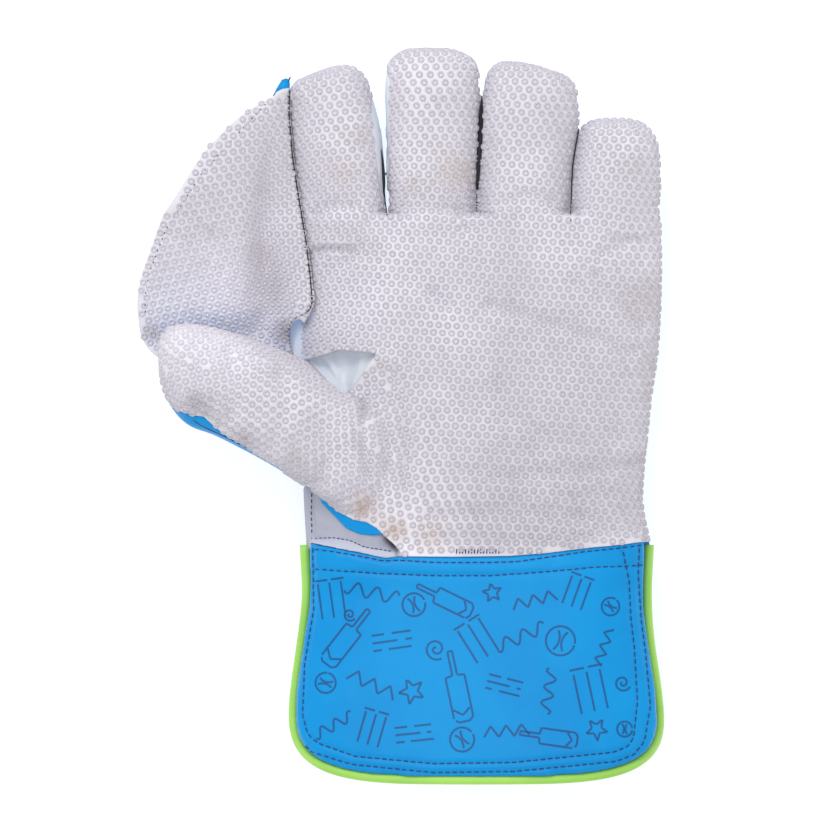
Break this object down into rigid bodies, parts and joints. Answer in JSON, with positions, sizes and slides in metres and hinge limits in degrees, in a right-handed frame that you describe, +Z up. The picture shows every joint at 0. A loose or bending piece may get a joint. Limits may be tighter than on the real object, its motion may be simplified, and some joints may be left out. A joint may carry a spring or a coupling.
{
  "type": "wicketkeeping glove",
  "caption": "Left-hand wicketkeeping glove lying palm up, with dimpled rubber facing, catching web and padded blue cuff with lime piping.",
  "frame": {"origin": "centre of the glove's outline in plan, on the surface that its padded back lies on", "axes": "+X towards the little finger's side, +Y towards the fingertips, +Z up, the way the palm faces"},
  "size_m": [0.2272, 0.3162, 0.0752],
  "materials": {
    "facing": "dimpled rubber on leather, matte",
    "pale_leather": "smooth soft leather, matte",
    "grey_leather": "soft napped leather, matte",
    "blue_leather": "coated leather over padding, semi-gloss",
    "lime_piping": "coated piping, semi-gloss"
  },
  "bodies": {
    "root": {"palm_facing": "facing", "index_facing": "facing", "index_back": "blue_leather", "middle_facing": "facing", "middle_back": "blue_leather", "ring_facing": "facing", "ring_back": "blue_leather", "little_facing": "facing", "little_back": "blue_leather", "fourchette_index_middle": "pale_leather", "fourchette_middle_ring": "pale_leather", "fourchette_ring_little": "pale_leather", "hand_back": "blue_leather", "thumb_facing": "facing", "thumb_back": "blue_leather", "web_facing": "facing", "web_backing": "blue_leather", "thumb_gusset": "pale_leather", "wrist_gusset": "grey_leather", "cuff_front": "blue_leather", "cuff_back": "blue_leather", "cuff_piping": "lime_piping", "mouth_piping": "lime_piping"}
  },
  "joints": []
}
